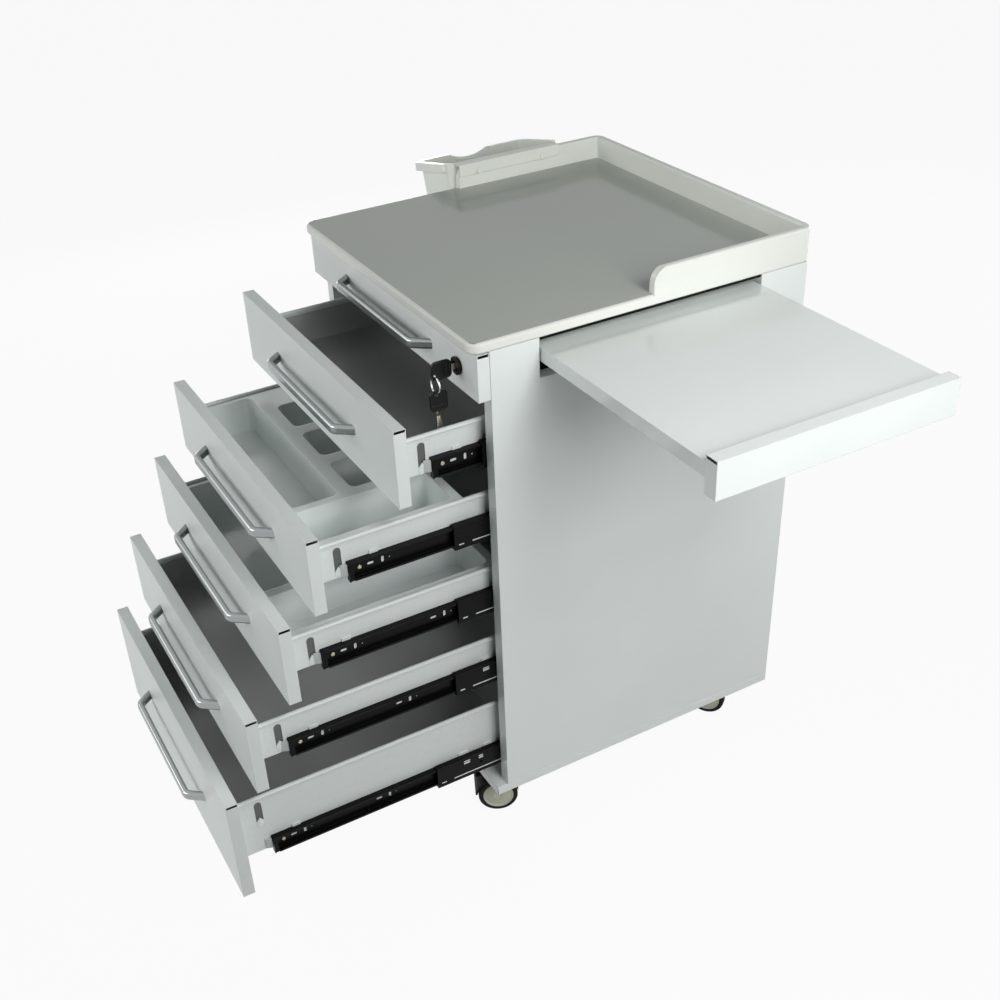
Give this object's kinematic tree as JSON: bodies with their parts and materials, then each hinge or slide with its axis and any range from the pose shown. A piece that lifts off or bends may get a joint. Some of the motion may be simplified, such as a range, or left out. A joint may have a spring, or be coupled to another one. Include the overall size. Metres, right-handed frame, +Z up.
{
  "type": "mobile drawer cabinet",
  "caption": "Mobile steel clinic cabinet on castors with drawers on ball slides, moulded trays, a lock with keys, a pull-out side shelf and a bin hung on the worktop's rim.",
  "frame": {"origin": "on the floor, under the middle of the carcass", "axes": "+Z up, drawers open towards -Y, the side shelf leaves towards +X"},
  "size_m": [0.9294, 0.8857, 0.8007],
  "materials": {
    "white_paint": "satin powder coat",
    "grey_paint": "satin powder coat",
    "dark_slide": "black zinc, satin",
    "worktop_abs": "smooth satin",
    "tray_plastic": "smooth",
    "bin_plastic": "smooth",
    "alu": "satin anodised",
    "zinc": "zinc plated",
    "nickel": "polished",
    "key_black": "fine grain",
    "castor_black": "satin",
    "wheel_cream": "satin"
  },
  "bodies": {
    "carcass": {"worktop": "worktop_abs", "side_panel_left": "white_paint", "side_panel_right": "white_paint", "back_panel": "grey_paint", "base_tray": "white_paint", "top_rails": "grey_paint", "rail_brackets": "grey_paint", "cabinet_members": "dark_slide", "shelf_guides": "grey_paint", "castor_plates": "zinc"},
    "drawer_1": {"front_1": "white_paint", "handle_1": "alu", "box_1": "grey_paint", "drawer_members_1": "dark_slide", "lock_case": "zinc"},
    "middle_1": {"middle_members_1": "dark_slide"},
    "drawer_2": {"front_2": "white_paint", "handle_2": "alu", "box_2": "grey_paint", "drawer_members_2": "dark_slide"},
    "middle_2": {"middle_members_2": "dark_slide"},
    "drawer_3": {"front_3": "white_paint", "handle_3": "alu", "box_3": "grey_paint", "drawer_members_3": "dark_slide", "tray_3": "tray_plastic"},
    "middle_3": {"middle_members_3": "dark_slide"},
    "drawer_4": {"front_4": "white_paint", "handle_4": "alu", "box_4": "grey_paint", "drawer_members_4": "dark_slide", "tray_4": "tray_plastic"},
    "middle_4": {"middle_members_4": "dark_slide"},
    "drawer_5": {"front_5": "white_paint", "handle_5": "alu", "box_5": "grey_paint", "drawer_members_5": "dark_slide"},
    "middle_5": {"middle_members_5": "dark_slide"},
    "drawer_6": {"front_6": "white_paint", "handle_6": "alu", "box_6": "grey_paint", "drawer_members_6": "dark_slide"},
    "middle_6": {"middle_members_6": "dark_slide"},
    "shelf": {"shelf_board": "white_paint", "shelf_rail": "white_paint"},
    "bin": {"bin": "bin_plastic"},
    "lock": {"lock_plug": "zinc"},
    "key": {"door_key": "key_black"},
    "ring": {"key_ring": "nickel"},
    "spare": {"spare_key": "key_black"},
    "castor_1": {"castor_body_1": "castor_black"},
    "castor_wheels_1": {"wheels_1": "wheel_cream"},
    "pedal_1": {"brake_pedal_1": "castor_black"},
    "castor_2": {"castor_body_2": "castor_black"},
    "castor_wheels_2": {"wheels_2": "wheel_cream"},
    "pedal_2": {"brake_pedal_2": "castor_black"},
    "castor_3": {"castor_body_3": "castor_black"},
    "castor_wheels_3": {"wheels_3": "wheel_cream"},
    "castor_4": {"castor_body_4": "castor_black"},
    "castor_wheels_4": {"wheels_4": "wheel_cream"}
  },
  "joints": [
    {"name": "drawer_1_slide", "type": "slide", "parent": "carcass", "child": "drawer_1", "axis": [0, -1, 0], "range_m": [0, 0.4]},
    {"name": "middle_1_slide", "type": "slide", "parent": "carcass", "child": "middle_1", "axis": [0, -1, 0], "range_m": [0, 0.1005]},
    {"name": "drawer_2_slide", "type": "slide", "parent": "carcass", "child": "drawer_2", "axis": [0, 1, 0], "range_m": [-0.2895, 0.1105]},
    {"name": "middle_2_slide", "type": "slide", "parent": "carcass", "child": "middle_2", "axis": [0, 1, 0], "range_m": [-0.02146, 0.0085]},
    {"name": "drawer_3_slide", "type": "slide", "parent": "carcass", "child": "drawer_3", "axis": [0, 1, 0], "range_m": [-0.17, 0.23]},
    {"name": "middle_3_slide", "type": "slide", "parent": "carcass", "child": "middle_3", "axis": [0, 1, 0], "range_m": [-0.03967, 0.0535]},
    {"name": "drawer_4_slide", "type": "slide", "parent": "carcass", "child": "drawer_4", "axis": [0, 1, 0], "range_m": [-0.122, 0.278]},
    {"name": "middle_4_slide", "type": "slide", "parent": "carcass", "child": "middle_4", "axis": [0, 1, 0], "range_m": [-0.0242, 0.0545]},
    {"name": "drawer_5_slide", "type": "slide", "parent": "carcass", "child": "drawer_5", "axis": [0, 1, 0], "range_m": [-0.0635, 0.3365]},
    {"name": "middle_5_slide", "type": "slide", "parent": "carcass", "child": "middle_5", "axis": [0, 1, 0], "range_m": [-0.01267, 0.065]},
    {"name": "drawer_6_slide", "type": "slide", "parent": "carcass", "child": "drawer_6", "axis": [0, 1, 0], "range_m": [-0.0205, 0.3795]},
    {"name": "middle_6_slide", "type": "slide", "parent": "carcass", "child": "middle_6", "axis": [0, 1, 0], "range_m": [-0.00601, 0.1025]},
    {"name": "shelf_slide", "type": "slide", "parent": "carcass", "child": "shelf", "axis": [1, 0, 0], "range_m": [-0.327, 0]},
    {"name": "bin_lift", "type": "slide", "parent": "carcass", "child": "bin", "axis": [0, 0, 1], "range_m": [0, 0.1]},
    {"name": "lock_turn", "type": "hinge", "parent": "drawer_1", "child": "lock", "pos_m": [0.192, -0.2385, 0.7207], "axis": [0, 1, 0], "range_deg": [0, 90]},
    {"name": "key_pull", "type": "slide", "parent": "lock", "child": "key", "axis": [0, -1, 0], "range_m": [0, 0.024]},
    {"name": "ring_swing", "type": "hinge", "parent": "key", "child": "ring", "pos_m": [0.192, -0.2693, 0.7145], "axis": [1, 0, 0], "range_deg": [-10, 8]},
    {"name": "spare_swing", "type": "hinge", "parent": "ring", "child": "spare", "pos_m": [0.192, -0.2693, 0.6925], "axis": [1, 0, 0], "range_deg": [-12, 10]},
    {"name": "castor_1_swivel", "type": "hinge", "parent": "carcass", "child": "castor_1", "pos_m": [-0.1945, -0.193, 0.068], "axis": [0, 0, 1], "continuous": true},
    {"name": "castor_1_roll", "type": "hinge", "parent": "castor_1", "child": "castor_wheels_1", "pos_m": [-0.21263, -0.20145, 0.0287], "axis": [0.4226, -0.9063, 0], "continuous": true},
    {"name": "brake_1_press", "type": "hinge", "parent": "castor_1", "child": "pedal_1", "pos_m": [-0.21897, -0.20441, 0.064], "axis": [0.4226, -0.9063, 0], "range_deg": [0, 10]},
    {"name": "castor_2_swivel", "type": "hinge", "parent": "carcass", "child": "castor_2", "pos_m": [0.1945, -0.193, 0.068], "axis": [0, 0, 1], "continuous": true},
    {"name": "castor_2_roll", "type": "hinge", "parent": "castor_2", "child": "castor_wheels_2", "pos_m": [0.18598, -0.2111, 0.0287], "axis": [0.9048, -0.4258, 0], "continuous": true},
    {"name": "brake_2_press", "type": "hinge", "parent": "castor_2", "child": "pedal_2", "pos_m": [0.183, -0.21743, 0.064], "axis": [0.9048, -0.4258, 0], "range_deg": [0, 10]},
    {"name": "castor_3_swivel", "type": "hinge", "parent": "carcass", "child": "castor_3", "pos_m": [-0.1945, 0.193, 0.068], "axis": [0, 0, 1], "continuous": true},
    {"name": "castor_3_roll", "type": "hinge", "parent": "castor_3", "child": "castor_wheels_3", "pos_m": [-0.20134, 0.17421, 0.0287], "axis": [0.9397, -0.342, 0], "continuous": true},
    {"name": "castor_4_swivel", "type": "hinge", "parent": "carcass", "child": "castor_4", "pos_m": [0.1945, 0.193, 0.068], "axis": [0, 0, 1], "continuous": true},
    {"name": "castor_4_roll", "type": "hinge", "parent": "castor_4", "child": "castor_wheels_4", "pos_m": [0.17838, 0.18116, 0.0287], "axis": [0.592, -0.8059, 0], "continuous": true}
  ],
  "couplings": [
    {"joint": "middle_1_slide", "follows": "drawer_1_slide", "ratio": 0.25},
    {"joint": "middle_2_slide", "follows": "drawer_2_slide", "ratio": 0.0724},
    {"joint": "middle_3_slide", "follows": "drawer_3_slide", "ratio": 0.23043},
    {"joint": "middle_4_slide", "follows": "drawer_4_slide", "ratio": 0.19424},
    {"joint": "middle_5_slide", "follows": "drawer_5_slide", "ratio": 0.19168},
    {"joint": "middle_6_slide", "follows": "drawer_6_slide", "ratio": 0.26877}
  ]
}
